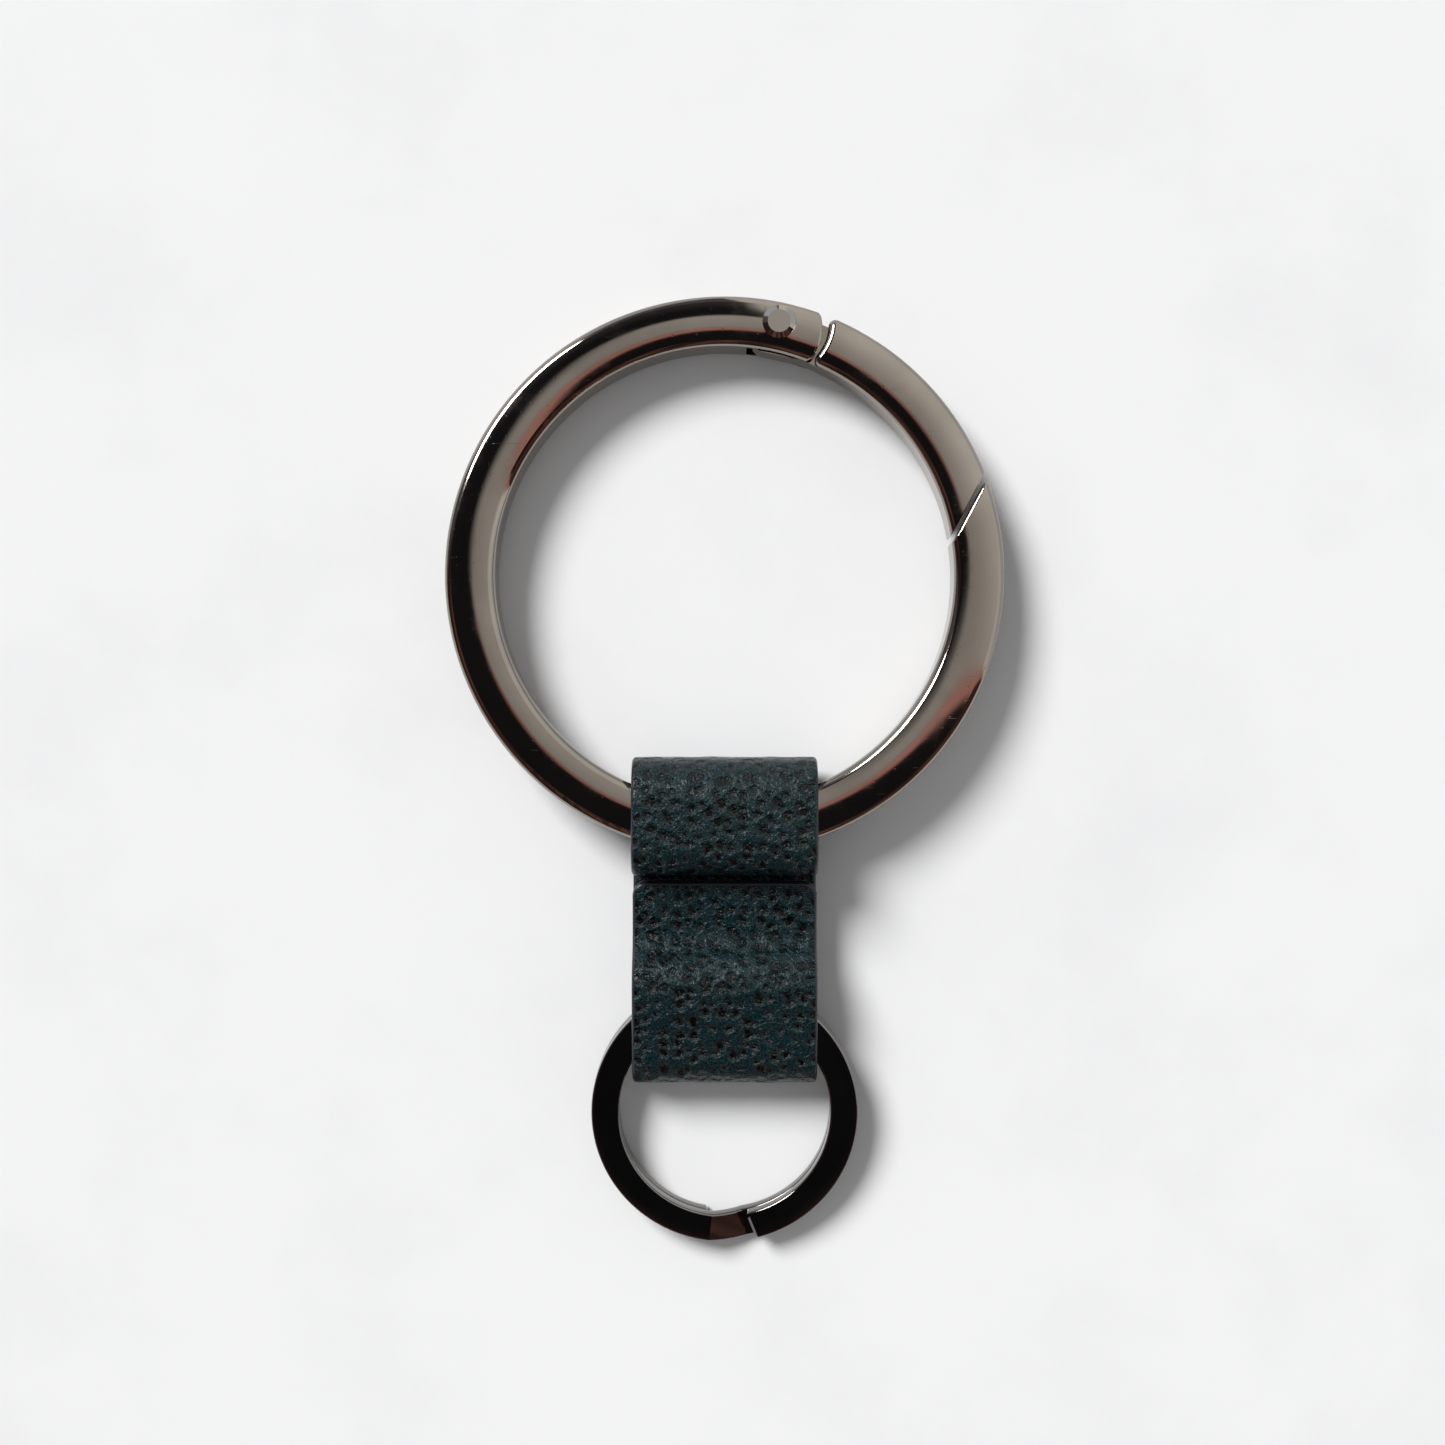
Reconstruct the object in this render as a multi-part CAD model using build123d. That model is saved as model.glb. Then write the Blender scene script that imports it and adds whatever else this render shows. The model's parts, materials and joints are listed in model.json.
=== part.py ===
from build123d import *
import math
import os

# Gate ring key holder: a hinged spring ring and a two-turn split ring joined by a leather strap.
# Millimetres. X runs across the strap, Y from the split ring towards the gate ring, and Z up from
# the surface that the holder lies on. Each ring is drawn flat about its own centre and is then
# laid on the tilt at which its far edge rests on that surface.

# Gate ring
RING_OUTER_DIAMETER = 50.0
RING_BAND_WIDTH = 4.5
RING_THICKNESS = 4.8
RING_CROWN_RADIUS = 9.6
RING_EDGE_RADIUS = 0.75

# Gate: the arm from the hinge to the slanted mouth
HINGE_ANGLE = 77.8
HINGE_OUTSET = 0.33
GATE_TIP_ANGLE = 9.4
GATE_TIP_SLANT = 52.45
GATE_MOUTH_GAP = 0.33
GATE_ROOT_GAP = 0.14
GATE_ROOT_ROUNDING = 0.6
GATE_TIP_BEVEL = 0.1
NOSE_ROUNDING = 0.3

# Knuckle: the slotted end of the ring body
KNUCKLE_LENGTH = 4.0
KNUCKLE_END_RADIUS = 4.9
KNUCKLE_CORNER_RADIUS = 1.2
KNUCKLE_CORNER_OVERHANG = 0.15
KNUCKLE_ROUNDING = 0.2
SLOT_WIDTH = 2.6
SLOT_OUTER_WALL = 0.7
SLOT_MOUTH_LENGTH = 2.45
SLOT_END_SLANT = 22.0

# Tongue: the part of the gate that turns inside the slot
TONGUE_SIDE_CLEARANCE = 0.1
TONGUE_FLOOR_CLEARANCE = 0.14
TAIL_REACH = 3.12
TAIL_BACK = 1.45
TAIL_PROUD = 0.15
TAIL_CHAMFER = 0.4

# Hinge rivet
RIVET_SHANK_DIAMETER = 1.2
RIVET_RUNNING_CLEARANCE = 0.06
RIVET_HEAD_DIAMETER = 3.0
RIVET_HEAD_FLAT = 2.05
RIVET_HEAD_PROUD = 0.28
RIVET_TAIL_PROUD = 0.12
RIVET_SEAT_DEPTH = 0.3
RIVET_SEAT_CLEARANCE = 0.02
RIVET_RIM = 0.26

# Gate spring
SPRING_OUTER_DIAMETER = 1.1
SPRING_WIRE = 0.18
SPRING_TURNS = 4
SPRING_OFFSET = 1.75
SPRING_POCKET_DEPTH = 0.25
SPRING_POCKET_CLEARANCE = 0.05
SPRING_END_CLEARANCE = 0.02
SPRING_SAMPLE_COUNT = 24

# Split ring
SPLIT_OUTER_DIAMETER = 24.0
SPLIT_WIRE_WIDTH = 2.5
SPLIT_WIRE_THICKNESS = 1.24
SPLIT_TURN_GAP = 0.08
SPLIT_EDGE_RADIUS = 0.2
SPLIT_STEP_START = 263.2
SPLIT_STEP_ANGLE = 16.2
SPLIT_END_GAP_ANGLE = 1.2
SPLIT_END_SLANT = 25.0

# Leather strap
STRAP_WIDTH = 16.5
STRAP_LENGTH = 29.3
LEATHER_THICKNESS = 0.9
LINING_THICKNESS = 0.6
LEATHER_EDGE_RADIUS = 0.35
GLUE_GAP = 0.05
FLAP_CORNER_RADIUS = 1.3
FLAP_END_SETBACK = 2.4
INNER_END_SETBACK = 1.3

# Loops of the strap
UPPER_LOOP_SLACK = 2.7
UPPER_RING_CLEARANCE = 0.3
UPPER_FOLD_BOTTOM_RADIUS = 1.9
UPPER_DROP_RADIUS = 0.9
UPPER_CREASE_RADIUS = 0.4
LOWER_RING_CLEARANCE = 0.25
LOWER_SIDE_SLACK = 0.6
LOWER_FOLD_BOTTOM_RADIUS = 1.0
LOWER_FOLD_TOP_RADIUS = 1.2
FLAP_RISE_LENGTH = 2.4
FLAP_HUMP_OVERHANG = 0.4
FLAP_RISE_RADIUS = 2.5

# ---------------------------------------------------------------------------------------------
# Sizes that follow from the ones above
# ---------------------------------------------------------------------------------------------

ring_outer = RING_OUTER_DIAMETER / 2
ring_inner = ring_outer - RING_BAND_WIDTH
ring_middle = (ring_outer + ring_inner) / 2
ring_half = RING_THICKNESS / 2
hinge_radius = ring_middle + HINGE_OUTSET
hinge_depth = hinge_radius - ring_inner
beyond = 2 * RING_OUTER_DIAMETER

# Length of the slanted mouth across the band, from its angle on the inner edge
mouth_aside = ring_inner * math.sin(math.radians(GATE_TIP_SLANT))
mouth_along = ring_inner * math.cos(math.radians(GATE_TIP_SLANT))
mouth_length = math.sqrt(ring_outer**2 - mouth_aside**2) - mouth_along

slot_floor = ring_outer - SLOT_OUTER_WALL
tongue_outer = slot_floor - TONGUE_FLOOR_CLEARANCE
eye_radius = tongue_outer - hinge_radius
tongue_half = SLOT_WIDTH / 2 - TONGUE_SIDE_CLEARANCE
shank_radius = RIVET_SHANK_DIAMETER / 2
head_radius = RIVET_HEAD_DIAMETER / 2
head_flat_radius = RIVET_HEAD_FLAT / 2
rivet_seat = ring_half - RIVET_SEAT_DEPTH

split_outer = SPLIT_OUTER_DIAMETER / 2
split_inner = split_outer - SPLIT_WIRE_WIDTH
split_half = SPLIT_WIRE_THICKNESS + SPLIT_TURN_GAP / 2
split_level = (SPLIT_WIRE_THICKNESS + SPLIT_TURN_GAP) / 2

strap_thickness = LEATHER_THICKNESS + LINING_THICKNESS
strap_half = STRAP_WIDTH / 2

# Places along Y, counted from the centre of the gate ring
upper_fold_inside = UPPER_LOOP_SLACK - ring_inner
upper_fold_outside = upper_fold_inside + strap_thickness
lower_fold_outside = upper_fold_outside - STRAP_LENGTH
lower_fold_inside = lower_fold_outside + strap_thickness
side_crossing = math.sqrt(max(split_inner**2 - strap_half**2, 0))
split_centre = lower_fold_inside - side_crossing + LOWER_SIDE_SLACK
split_edge = split_centre + split_outer

# Tilts of the rings: the near edge over the strap's back layer, the far edge on the surface
hinge_reach = hinge_radius * math.sin(math.radians(HINGE_ANGLE)) + head_flat_radius
gate_lift = strap_thickness + UPPER_RING_CLEARANCE - RIVET_TAIL_PROUD
gate_tilt = math.asin(gate_lift / (ring_middle + hinge_reach))
gate_height = hinge_reach * math.sin(gate_tilt) + (ring_half + RIVET_TAIL_PROUD) * math.cos(gate_tilt)

split_reach = split_outer - SPLIT_EDGE_RADIUS
split_lift = strap_thickness + LOWER_RING_CLEARANCE
split_tilt = math.asin(split_lift / (side_crossing + split_reach))
split_flat = split_half - SPLIT_EDGE_RADIUS
split_height = (
    split_reach * math.sin(split_tilt) + split_flat * math.cos(split_tilt) + SPLIT_EDGE_RADIUS
)

gate_ring_place = Location((0, 0, gate_height), (-math.degrees(gate_tilt), 0, 0))
split_ring_place = Location((0, split_centre, split_height), (math.degrees(split_tilt), 0, 0))


def polar(radius, angle):
    """Point at a radius and an angle in degrees about the origin."""
    return Vector(radius * math.cos(math.radians(angle)), radius * math.sin(math.radians(angle)))


# At the hinge, X runs along the gate and Y runs outwards from the centre of the ring.
hinge_point = polar(hinge_radius, HINGE_ANGLE)
hinge_plane = Plane(origin=hinge_point, x_dir=polar(1, HINGE_ANGLE - 90), z_dir=(0, 0, 1))

# The mouth runs outwards across the band on its slant.
mouth_start = polar(ring_inner, GATE_TIP_ANGLE)
mouth_heading = polar(1, GATE_TIP_ANGLE + GATE_TIP_SLANT)
mouth_middle = mouth_start + mouth_heading * (mouth_length / 2)


# ---------------------------------------------------------------------------------------------
# Gate ring: body, gate, rivet and spring
# ---------------------------------------------------------------------------------------------

def ring_blank():
    """The whole gate ring before it is cut: a crowned band with rounded shoulders."""
    crown_rise = RING_CROWN_RADIUS - math.sqrt(RING_CROWN_RADIUS**2 - (RING_BAND_WIDTH / 2) ** 2)
    shoulder = ring_half - crown_rise
    with BuildSketch(Plane.XZ) as section:
        with BuildLine():
            ThreePointArc((ring_inner, shoulder), (ring_middle, ring_half), (ring_outer, shoulder))
            Line((ring_outer, shoulder), (ring_outer, -shoulder))
            ThreePointArc((ring_outer, -shoulder), (ring_middle, -ring_half), (ring_inner, -shoulder))
            Line((ring_inner, -shoulder), (ring_inner, shoulder))
        make_face()
        fillet(section.vertices(), RING_EDGE_RADIUS)
    return revolve(section.sketch, Axis.Z)


def gate_sector(gap):
    """Prism over the gate, from the hinge's radius to the slanted mouth moved out by a gap."""
    corner = mouth_start + mouth_heading.rotate(Axis.Z, -90) * gap
    start = corner - mouth_heading * (RING_BAND_WIDTH / 2)
    end = corner + mouth_heading * (mouth_length + ring_outer)
    far = polar(beyond, HINGE_ANGLE)
    plan = make_face(Polyline((0, 0, 0), start, end, far, close=True))
    return extrude(plan, RING_THICKNESS, both=True)


def knuckle_plan():
    """Outline of the slotted end: a bulged end whose rounded corners run out past the band."""
    end_middle = math.sqrt(ring_middle**2 - KNUCKLE_LENGTH**2) - hinge_radius
    with BuildSketch(hinge_plane) as plan:
        with Locations((0, -hinge_radius)):
            Circle(ring_outer + KNUCKLE_CORNER_OVERHANG)
            Circle(ring_inner - KNUCKLE_CORNER_OVERHANG, mode=Mode.SUBTRACT)
        with Locations((KNUCKLE_LENGTH - KNUCKLE_END_RADIUS, end_middle)):
            Circle(KNUCKLE_END_RADIUS, mode=Mode.INTERSECT)
        corners = plan.vertices().sort_by(lambda corner: corner.X)
        fillet(corners[-2:], KNUCKLE_CORNER_RADIUS)
    return plan.sketch


def gate_root_radius(plan):
    """Radius about the hinge at which the gate's root clears every corner of the knuckle."""
    corners = plan.vertices().sort_by(lambda corner: corner.X)
    return max((corner.center() - hinge_point).length for corner in corners[-4:]) + GATE_ROOT_GAP


def edges_across(face):
    """Edges of an end face that run across the band, which leaves out its upright sides."""
    return face.edges().filter_by(Axis.Z, reverse=True)


def face_at(solid, point):
    """The face of a solid that lies nearest to a point."""
    return solid.faces().sort_by_distance(point)[0]


def hinge_slot():
    """Slot for the tongue: open to the inside and the end, closed by the outer wall."""
    slant = math.tan(math.radians(SLOT_END_SLANT))
    low = hinge_depth + RING_BAND_WIDTH
    high = RING_BAND_WIDTH
    right = KNUCKLE_LENGTH + RING_BAND_WIDTH
    with BuildSketch(hinge_plane) as plan:
        Polygon(
            (-SLOT_MOUTH_LENGTH + (low - hinge_depth) * slant, -low),
            (right, -low),
            (right, high),
            (-SLOT_MOUTH_LENGTH - (high + hinge_depth) * slant, high),
            align=None,
        )
    return extrude(plan.sketch, SLOT_WIDTH / 2, both=True) & Cylinder(slot_floor, SLOT_WIDTH)


def make_gate_ring_body(blank, plan):
    """Band from the mouth's nose round to the slotted knuckle, with the rivet's seats."""
    body = blank - (gate_sector(GATE_MOUTH_GAP) - extrude(plan, RING_THICKNESS, both=True))
    nose = face_at(body, mouth_middle)
    body = fillet(edges_across(nose), NOSE_ROUNDING)
    knuckle_end = face_at(body, hinge_plane.from_local_coords(Vector(KNUCKLE_LENGTH, 0, 0)))
    body = fillet(edges_across(knuckle_end), KNUCKLE_ROUNDING)
    body -= hinge_slot()
    hinge = Location(hinge_plane)
    body -= hinge * Cylinder(shank_radius, beyond)
    seat = Cylinder(head_radius + RIVET_SEAT_CLEARANCE, RING_THICKNESS)
    body -= hinge * Pos(Z=rivet_seat + ring_half) * seat
    body -= hinge * Pos(Z=-rivet_seat - ring_half) * seat
    return body


def tongue_plan(root_radius):
    """Outline of the tongue, drawn with the hinge at the origin and the gate towards +X."""
    tail_depth = hinge_depth + TAIL_PROUD
    tail_merge = math.sqrt(ring_inner**2 - (hinge_radius - tail_depth) ** 2)
    tail_height = tail_depth - TAIL_BACK
    arm_length = root_radius + GATE_ROOT_ROUNDING
    ring_centre = Pos(Y=-hinge_radius)
    leftwards = (Align.MAX, Align.MIN)
    rightwards = (Align.MIN, Align.MIN)

    arm = ring_centre * (Circle(tongue_outer) - Circle(ring_inner))
    arm &= ring_centre * Rectangle(arm_length, RING_OUTER_DIAMETER, align=rightwards)
    eye = Circle(eye_radius)
    neck = Pos(Y=-TAIL_BACK) * Rectangle(eye_radius, TAIL_BACK, align=leftwards)
    tail = Circle(TAIL_REACH) & Pos(Y=-tail_depth) * Rectangle(TAIL_REACH, tail_height, align=leftwards)
    tip = tail.vertices().group_by(Axis.Y)[0].sort_by(Axis.X)[0]
    tail = chamfer(tip, TAIL_CHAMFER)
    heel = Pos(Y=-tail_depth) * Rectangle(tail_merge, tail_height, align=rightwards)
    return arm + eye + neck + tail + heel


def make_gate(blank, root_radius):
    """Arm of the gate with its rounded root and crisp tip, and the tongue that carries it."""
    arm = blank & gate_sector(0)
    arm -= Location(hinge_plane) * Cylinder(root_radius, beyond)
    root = face_at(arm, hinge_plane.from_local_coords(Vector(root_radius, 0, 0)))
    arm = fillet(root.edges(), GATE_ROOT_ROUNDING)
    tip = face_at(arm, mouth_middle)
    arm = chamfer(edges_across(tip), GATE_TIP_BEVEL)
    tongue = extrude(Location(hinge_plane) * tongue_plan(root_radius), tongue_half, both=True)
    gate = arm + tongue
    gate -= Location(hinge_plane) * Cylinder(shank_radius + RIVET_RUNNING_CLEARANCE, beyond)
    gate -= spring_seat_plane() * Cylinder(
        SPRING_OUTER_DIAMETER / 2 + SPRING_POCKET_CLEARANCE, 2 * SPRING_POCKET_DEPTH
    )
    return gate


def spring_seat_plane():
    """Place of the spring's seat on the tail, with Z running outwards along the spring."""
    seat = hinge_plane.from_local_coords(Vector(-SPRING_OFFSET, -TAIL_BACK, 0))
    return Location(Plane(origin=seat, x_dir=hinge_plane.x_dir, z_dir=hinge_plane.y_dir))


def make_hinge_rivet():
    """Shank with a raised bevelled head on top and a flatter formed head below."""
    top = ring_half + RIVET_HEAD_PROUD
    bottom = -ring_half - RIVET_TAIL_PROUD
    rim = rivet_seat + RIVET_RIM
    with BuildSketch(Plane.XZ) as section:
        Polygon(
            (0, bottom),
            (head_flat_radius, bottom),
            (head_radius, -rim),
            (head_radius, -rivet_seat),
            (shank_radius, -rivet_seat),
            (shank_radius, rivet_seat),
            (head_radius, rivet_seat),
            (head_radius, rim),
            (head_flat_radius, top),
            (0, top),
            align=None,
        )
    return Location(hinge_plane) * revolve(section.sketch, Axis.Z)


def helix_point(radius, pitch, turn):
    """Point of a helix about Z after a number of turns."""
    return Vector(radius, 0, 0).rotate(Axis.Z, 360 * turn) + Vector(0, 0, pitch * turn)


def helix_heading(radius, pitch, turn):
    """Unit tangent of the same helix."""
    return Vector(0, 2 * math.pi * radius, pitch).rotate(Axis.Z, 360 * turn).normalized()


def half_turn(radius, pitch, turn):
    """Two tangent arcs over half a turn of a helix."""
    start = helix_point(radius, pitch, turn)
    end = helix_point(radius, pitch, turn + 0.5)
    leave = helix_heading(radius, pitch, turn)
    arrive = helix_heading(radius, pitch, turn + 0.5)
    chord = end - start
    along = chord.dot(leave + arrive)
    spread = 2 * (1 - leave.dot(arrive))
    reach = (math.sqrt(along**2 + spread * chord.dot(chord)) - along) / spread
    start_handle = start + leave * reach
    end_handle = end - arrive * reach
    joint = (start_handle + end_handle) * 0.5
    heading = (end_handle - start_handle).normalized()
    return [
        TangentArc(start, joint, tangent=leave),
        TangentArc(joint, end, tangent=heading),
    ]


def make_gate_spring():
    """Compression spring between the tail's pocket and the floor of the slot."""
    coil_radius = (SPRING_OUTER_DIAMETER - SPRING_WIRE) / 2
    floor_side = SPRING_OFFSET + SPRING_OUTER_DIAMETER / 2
    floor = math.sqrt(slot_floor**2 - floor_side**2) - hinge_radius + TAIL_BACK
    bottom = -SPRING_POCKET_DEPTH + SPRING_END_CLEARANCE + SPRING_WIRE / 2
    top = floor - SPRING_END_CLEARANCE - SPRING_WIRE / 2
    pitch = (top - bottom) / SPRING_TURNS
    arcs = []
    for half in range(2 * SPRING_TURNS):
        arcs += half_turn(coil_radius, pitch, half / 2)
    path = Wire(arcs)
    start = Plane(origin=path @ 0, z_dir=path % 0)
    print("spring gap to itself", round(least_gap(path), 3))
    wire = sweep(start * Circle(SPRING_WIRE / 2), path=path)
    return spring_seat_plane() * Pos(Z=bottom) * wire


def least_gap(path):
    """Least distance between two turns of the spring, half a turn or more apart, on points."""
    steps = SPRING_SAMPLE_COUNT * SPRING_TURNS
    points = [path @ (step / steps) for step in range(steps + 1)]
    gaps = [
        (points[later] - points[first]).length
        for first in range(steps + 1)
        for later in range(first + SPRING_SAMPLE_COUNT // 2, steps + 1)
    ]
    return min(gaps) - SPRING_WIRE


# ---------------------------------------------------------------------------------------------
# Split ring
# ---------------------------------------------------------------------------------------------

def wire_section(angle, level):
    """Rounded flat section of the wire in the upright plane at an angle."""
    radial = Plane(origin=(0, 0, 0), x_dir=polar(1, angle), z_dir=polar(1, angle - 90))
    middle = (split_outer + split_inner) / 2
    section = RectangleRounded(SPLIT_WIRE_WIDTH, SPLIT_WIRE_THICKNESS, SPLIT_EDGE_RADIUS)
    return radial * Pos(middle, level) * section


def oblique_end(angle, side):
    """Block that trims a free end on a slant, from an angle on the inner edge to one side."""
    corner = Plane(origin=polar(split_inner, angle), x_dir=polar(1, angle + side * SPLIT_END_SLANT))
    block = Box(3 * SPLIT_WIRE_WIDTH, SPLIT_WIRE_WIDTH, 3 * split_half)
    return Location(corner) * Pos(Y=-side * SPLIT_WIRE_WIDTH / 2) * block


def make_split_ring():
    """One flat wire wound twice: a full turn above, a short step down and a full turn below."""
    step_end = SPLIT_STEP_START + SPLIT_STEP_ANGLE
    upper_end = step_end + SPLIT_END_GAP_ANGLE - 360
    lower_end = SPLIT_STEP_START - SPLIT_END_GAP_ANGLE + 360
    upper = revolve(wire_section(upper_end, split_level), Axis.Z, SPLIT_STEP_START - upper_end)
    lower = revolve(wire_section(step_end, -split_level), Axis.Z, lower_end - step_end)
    step = loft(
        [wire_section(SPLIT_STEP_START, split_level), wire_section(step_end, -split_level)],
        ruled=True,
    )
    upper -= oblique_end(upper_end, 1)
    lower -= oblique_end(lower_end, -1)
    return upper + step + lower


# ---------------------------------------------------------------------------------------------
# Leather strap
# ---------------------------------------------------------------------------------------------

def over_gate_ring(y):
    """Height of the glue line over the tilted gate ring."""
    lift = ring_half / math.cos(gate_tilt) + UPPER_RING_CLEARANCE + LINING_THICKNESS
    return gate_height - y * math.tan(gate_tilt) + lift


def over_split_ring(y):
    """Height of the glue line over the tilted split ring."""
    lift = split_half / math.cos(split_tilt) + LOWER_RING_CLEARANCE + LINING_THICKNESS
    return split_height + (y - split_centre) * math.tan(split_tilt) + lift


def strap_route():
    """Corners of the glue line in the YZ plane and the radius at each, from flap to inner end."""
    back = LEATHER_THICKNESS
    inner = strap_thickness + GLUE_GAP + LINING_THICKNESS
    flap = inner + strap_thickness + GLUE_GAP
    lower_fold = lower_fold_outside + LEATHER_THICKNESS
    upper_fold = upper_fold_outside - LEATHER_THICKNESS
    hump = split_edge + FLAP_HUMP_OVERHANG
    drop = -ring_outer - UPPER_RING_CLEARANCE - LINING_THICKNESS
    upper_fold_height = over_gate_ring(upper_fold)
    corners = [
        (-ring_outer - FLAP_END_SETBACK, flap),
        (hump + FLAP_RISE_LENGTH, flap),
        (hump, over_split_ring(hump)),
        (lower_fold, over_split_ring(lower_fold)),
        (lower_fold, back),
        (upper_fold, back),
        (upper_fold, upper_fold_height),
        (drop, over_gate_ring(drop)),
        (drop, inner),
        (split_edge + INNER_END_SETBACK, inner),
    ]
    upper_fold_bottom = UPPER_FOLD_BOTTOM_RADIUS + LINING_THICKNESS
    radii = [
        FLAP_RISE_RADIUS,
        FLAP_RISE_RADIUS,
        LOWER_FOLD_TOP_RADIUS + LINING_THICKNESS,
        LOWER_FOLD_BOTTOM_RADIUS + LINING_THICKNESS,
        upper_fold_bottom,
        (upper_fold_height - back) / 2,
        UPPER_DROP_RADIUS + LINING_THICKNESS,
        UPPER_CREASE_RADIUS + LEATHER_THICKNESS,
    ]
    return [Vector(*corner) for corner in corners], radii


def side_line(corners, radii, distance):
    """Line of arcs and straights at a distance to the left of a route, following its turns."""
    headings = [(end - start).normalized() for start, end in zip(corners, corners[1:])]
    lefts = [heading.rotate(Axis.Z, 90) for heading in headings]
    points = [corners[0] + lefts[0] * distance]
    side_radii = []
    for corner, before, after, radius in zip(corners[1:], lefts, lefts[1:], radii):
        points.append(corner + (before + after) * (distance / (1 + before.dot(after))))
        turn = math.copysign(1, before.cross(after).Z)
        side_radii.append(radius - turn * distance)
    points.append(corners[-1] + lefts[-1] * distance)
    return FilletPolyline(*points, radius=side_radii)


def strap_layer(outer, inner):
    """One layer of the strap between two distances from the glue line, with its flap rounded."""
    corners, radii = strap_route()
    outer_line = side_line(corners, radii, outer)
    inner_line = side_line(corners, radii, inner)
    ends = [Line(outer_line @ 0, inner_line @ 0), Line(outer_line @ 1, inner_line @ 1)]
    profile = make_face(outer_line.edges() + inner_line.edges() + ends)
    layer = extrude(Plane.YZ * profile, strap_half, both=True)
    flap_end = face_at(layer, Plane.YZ.from_local_coords(ends[0] @ 0.5))
    return fillet(flap_end.edges().filter_by(Axis.Z), FLAP_CORNER_RADIUS)


def make_strap_leather():
    """Face leather on the outside of both loops, rounded along its sides and flap end."""
    leather = strap_layer(-LEATHER_THICKNESS, 0)
    outside = Plane.YZ * Wire(side_line(*strap_route(), -LEATHER_THICKNESS).edges())
    sides = [
        edge
        for edge in leather.edges().filter_by(Axis.X, reverse=True).filter_by(Axis.Z, reverse=True)
        if outside.distance_to(Vector(0, edge.center().Y, edge.center().Z)) < GLUE_GAP
    ]
    return fillet(sides, LEATHER_EDGE_RADIUS)


def make_strap_lining():
    """Lining on the inside of both loops, glued to the face leather all along."""
    return strap_layer(0, LINING_THICKNESS)


# ---------------------------------------------------------------------------------------------
# The whole holder
# ---------------------------------------------------------------------------------------------

def holder_pieces():
    """Every piece in its place, with the gate ring's centre over the origin."""
    blank = ring_blank()
    plan = knuckle_plan()
    return {
        "gate_ring_body": gate_ring_place * make_gate_ring_body(blank, plan),
        "gate": gate_ring_place * make_gate(blank, gate_root_radius(plan)),
        "hinge_rivet": gate_ring_place * make_hinge_rivet(),
        "gate_spring": gate_ring_place * make_gate_spring(),
        "split_ring": split_ring_place * make_split_ring(),
        "strap_leather": make_strap_leather(),
        "strap_lining": make_strap_lining(),
    }


def centring(pieces):
    """Move that puts the middle of the pieces' footprint on the origin and their feet on Z = 0."""
    boxes = [piece.bounding_box(optimal=True) for piece in pieces.values()]
    left = min(box.min.X for box in boxes)
    right = max(box.max.X for box in boxes)
    front = min(box.min.Y for box in boxes)
    rear = max(box.max.Y for box in boxes)
    foot = min(box.min.Z for box in boxes)
    return Pos(-(left + right) / 2, -(front + rear) / 2, -foot)


def main():
    os.makedirs("parts", exist_ok=True)
    pieces = holder_pieces()
    centre = centring(pieces)
    hinge = centre * gate_ring_place * Location(hinge_plane)
    print("gate ring centre", tuple((centre * gate_ring_place).position))
    print("gate ring tilt", math.degrees(gate_tilt))
    print("hinge", tuple(hinge.position))
    print("split ring centre", tuple((centre * split_ring_place).position))
    print("split ring tilt", math.degrees(split_tilt))
    for name, piece in pieces.items():
        export_step(centre * piece, f"parts/{name}.step")


main()
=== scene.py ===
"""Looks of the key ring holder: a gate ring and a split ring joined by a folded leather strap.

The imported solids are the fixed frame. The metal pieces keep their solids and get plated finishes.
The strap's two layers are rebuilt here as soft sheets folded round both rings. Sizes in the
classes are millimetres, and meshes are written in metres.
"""

import json
import logging
import math
from dataclasses import dataclass
from enum import Enum

import bpy
import numpy as np
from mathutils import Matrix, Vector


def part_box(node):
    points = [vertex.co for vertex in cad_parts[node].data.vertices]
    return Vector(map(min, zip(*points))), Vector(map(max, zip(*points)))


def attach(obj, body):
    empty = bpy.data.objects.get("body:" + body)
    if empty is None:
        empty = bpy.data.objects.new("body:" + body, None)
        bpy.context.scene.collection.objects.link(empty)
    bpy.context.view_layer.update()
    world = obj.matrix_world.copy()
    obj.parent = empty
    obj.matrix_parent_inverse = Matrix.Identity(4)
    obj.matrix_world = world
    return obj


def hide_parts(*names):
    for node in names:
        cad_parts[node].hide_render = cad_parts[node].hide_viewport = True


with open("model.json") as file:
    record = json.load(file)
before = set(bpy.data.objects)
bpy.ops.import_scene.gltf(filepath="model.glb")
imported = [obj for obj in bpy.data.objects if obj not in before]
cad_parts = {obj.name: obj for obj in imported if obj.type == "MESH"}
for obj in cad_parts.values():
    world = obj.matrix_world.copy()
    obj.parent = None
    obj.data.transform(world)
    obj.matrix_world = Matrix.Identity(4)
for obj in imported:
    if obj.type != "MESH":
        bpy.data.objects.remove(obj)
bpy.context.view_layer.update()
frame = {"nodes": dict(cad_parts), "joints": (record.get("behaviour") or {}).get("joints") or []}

Grid = np.ndarray
Colour = tuple[float, float, float]
Feed = float | tuple | bpy.types.NodeSocket

MM = 0.001
GRAIN_MAP = "grain"
BORDER = "border"
log = logging.getLogger("key_ring_holder")


# ---------------------------------------------------------------------------------------------
# Node trees
# ---------------------------------------------------------------------------------------------

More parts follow.
